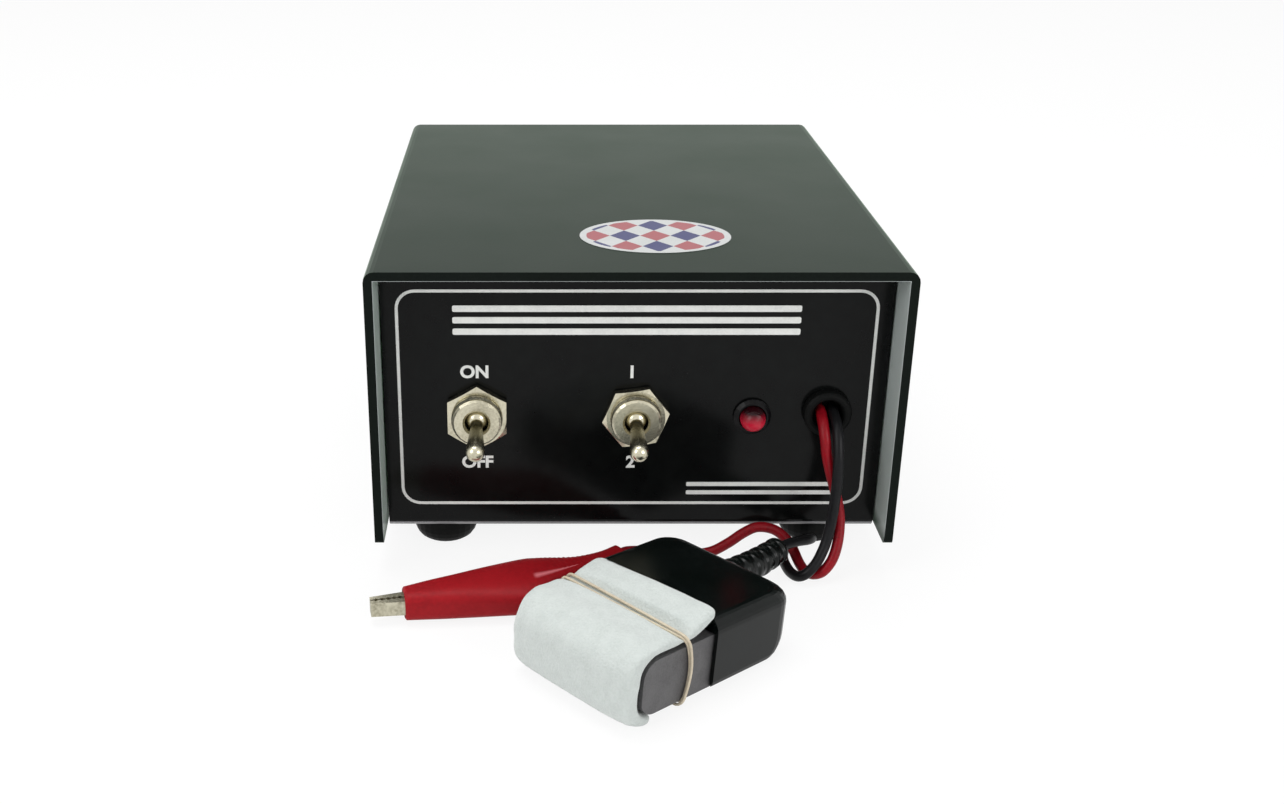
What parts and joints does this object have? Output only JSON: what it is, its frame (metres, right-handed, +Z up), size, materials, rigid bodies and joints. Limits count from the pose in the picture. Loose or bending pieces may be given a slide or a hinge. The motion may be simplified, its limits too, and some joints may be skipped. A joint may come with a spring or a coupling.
{
  "type": "electrochemical etching machine",
  "caption": "Mains-powered metal-marking power unit in a black sheet-metal case, with toggle switches, a felt-covered carbon marking head and a red insulated spring clip on leads",
  "frame": {"origin": "the middle of the underside of the unit and its marking head together, on the bench top", "axes": "+X across the front panel to the right as seen from the front, +Y from the front to the back, +Z up"},
  "size_m": [0.1312, 0.2205, 0.0779],
  "materials": {
    "black_enamel": "satin",
    "nickel_plate": "bright nickel plate",
    "zinc_plate": "zinc plate",
    "black_rubber": "matte",
    "switch_case": "moulded phenolic",
    "black_plastic": "moulded",
    "red_lens": "polished",
    "bulb_glass": "clear",
    "core_steel": "varnished laminations",
    "winding_tape": "polyester tape",
    "carbon": "ground graphite",
    "white_felt": "pressed felt",
    "band_rubber": "natural rubber",
    "brass": "turned",
    "red_vinyl": "soft vinyl",
    "black_vinyl": "soft vinyl"
  },
  "bodies": {
    "unit": {"black_lead": "black_vinyl", "carbon_block": "carbon", "chassis": "black_enamel", "clip_boot": "red_vinyl", "clip_fixed_jaw": "nickel_plate", "clip_pin": "nickel_plate", "clip_spring": "zinc_plate", "cover": "black_enamel", "cover_screw_1": "zinc_plate", "cover_screw_2": "zinc_plate", "cover_screw_3": "zinc_plate", "cover_screw_4": "zinc_plate", "electrode_stud": "brass", "felt_pad": "white_felt", "foot_front_left": "black_rubber", "foot_front_right": "black_rubber", "foot_rear_left": "black_rubber", "foot_rear_right": "black_rubber", "foot_screw_front_left": "zinc_plate", "foot_screw_front_right": "zinc_plate", "foot_screw_rear_left": "zinc_plate", "foot_screw_rear_right": "zinc_plate", "head_handle": "black_plastic", "head_strain_relief": "black_rubber", "lamp_bezel": "black_plastic", "lamp_bulb": "bulb_glass", "lamp_clip": "zinc_plate", "lamp_lens": "red_lens", "lead_grommet": "black_rubber", "mains_grommet": "black_rubber", "mode_switch_back_nut": "nickel_plate", "mode_switch_bushing": "nickel_plate", "mode_switch_case": "switch_case", "mode_switch_front_nut": "nickel_plate", "mode_switch_lug_1": "brass", "mode_switch_lug_2": "brass", "mode_switch_lug_3": "brass", "power_switch_back_nut": "nickel_plate", "power_switch_bushing": "nickel_plate", "power_switch_case": "switch_case", "power_switch_front_nut": "nickel_plate", "power_switch_lug_1": "brass", "power_switch_lug_2": "brass", "rectifier": "black_plastic", "rectifier_screw": "zinc_plate", "red_lead": "red_vinyl", "rubber_band": "band_rubber", "strip_screw_1": "zinc_plate", "strip_screw_2": "zinc_plate", "terminal_strip": "black_plastic", "transformer_coil": "winding_tape", "transformer_core": "core_steel", "transformer_screw_1": "zinc_plate", "transformer_screw_2": "zinc_plate", "transformer_strap": "zinc_plate"},
    "power_lever": {"power_switch_lever": "nickel_plate"},
    "mode_lever": {"mode_switch_lever": "nickel_plate"},
    "clip_jaw": {"clip_moving_jaw": "nickel_plate"}
  },
  "joints": [
    {"name": "power_toggle", "type": "hinge", "parent": "unit", "child": "power_lever", "pos_m": [-0.0383, -0.0332, 0.0379], "axis": [-1, 0, 0], "range_deg": [0, 23]},
    {"name": "mode_toggle", "type": "hinge", "parent": "unit", "child": "mode_lever", "pos_m": [0.0003, -0.0332, 0.0379], "axis": [-1, 0, 0], "range_deg": [0, 23]},
    {"name": "clip_opening", "type": "hinge", "parent": "unit", "child": "clip_jaw", "pos_m": [-0.0448, -0.0618, 0.0042], "axis": [0, 0, -1], "range_deg": [0, 18], "stiffness_Nm_per_rad": 0.15, "springref_deg": -20.05, "deforming": ["clip_boot", "clip_spring"]}
  ]
}
